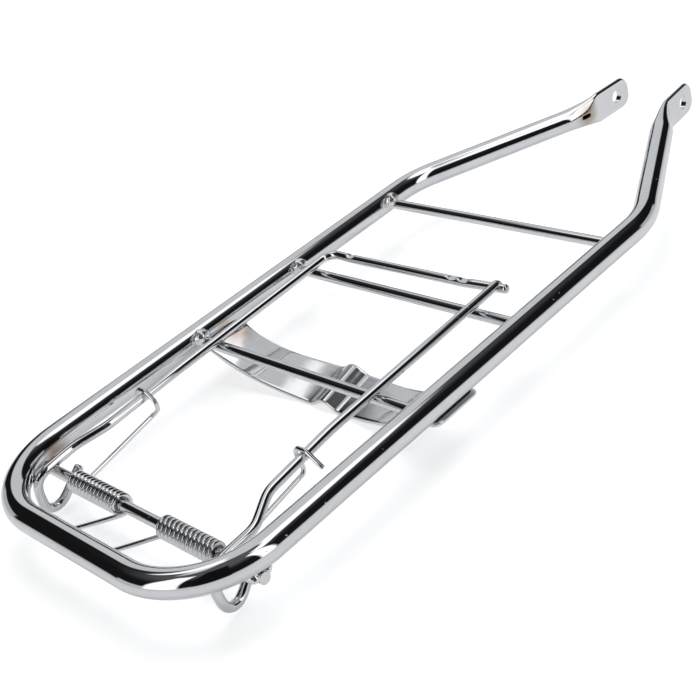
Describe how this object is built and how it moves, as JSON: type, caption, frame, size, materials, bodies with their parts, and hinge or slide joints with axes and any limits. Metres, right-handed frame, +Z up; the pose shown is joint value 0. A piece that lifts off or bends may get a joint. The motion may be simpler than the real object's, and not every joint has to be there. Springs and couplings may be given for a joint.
{
  "type": "motorcycle luggage rack",
  "caption": "Tubular chrome luggage rack with cross rods, a sprung wire clamp for the load, a dished mudguard bracket and flattened bolt ears.",
  "frame": {"origin": "middle of the front bolt axis, halfway between the two bolt ears", "axes": "+X across the rack to the rider's right and along the bolt axis, +Y forwards along the side tubes, +Z up; the frame tube's centreline lies in the plane Z = 0"},
  "size_m": [0.184, 0.487, 0.042],
  "materials": {
    "chrome_tube": "bright chrome plate on steel tube",
    "chrome_rod": "bright chrome plate on steel rod",
    "plated_weld": "plated weld bead, slightly rough",
    "chrome_sheet": "chrome plate on pressed steel sheet, softly wavy",
    "chrome_wire": "bright chrome plate on steel wire",
    "spring_wire": "plated spring steel wire"
  },
  "bodies": {
    "rack": {"rear_bow": "chrome_tube", "left_side_tube": "chrome_tube", "right_side_tube": "chrome_tube", "front_cross_rod": "chrome_rod", "middle_cross_rod": "chrome_rod", "rear_cross_rod": "chrome_rod", "pivot_rod": "chrome_rod", "weld_beads": "plated_weld", "mudguard_bracket": "chrome_sheet", "left_spring": "spring_wire", "right_spring": "spring_wire"},
    "clamp": {"clamp_bail": "chrome_wire"}
  },
  "joints": [
    {"name": "clamp_hinge", "type": "hinge", "parent": "rack", "child": "clamp", "pos_m": [0, -0.4328, -0.0101], "axis": [1, 0, 0], "range_deg": [0, 90], "stiffness_Nm_per_rad": 0.5, "springref_deg": -57.3, "deforming": ["left_spring", "right_spring"]}
  ]
}
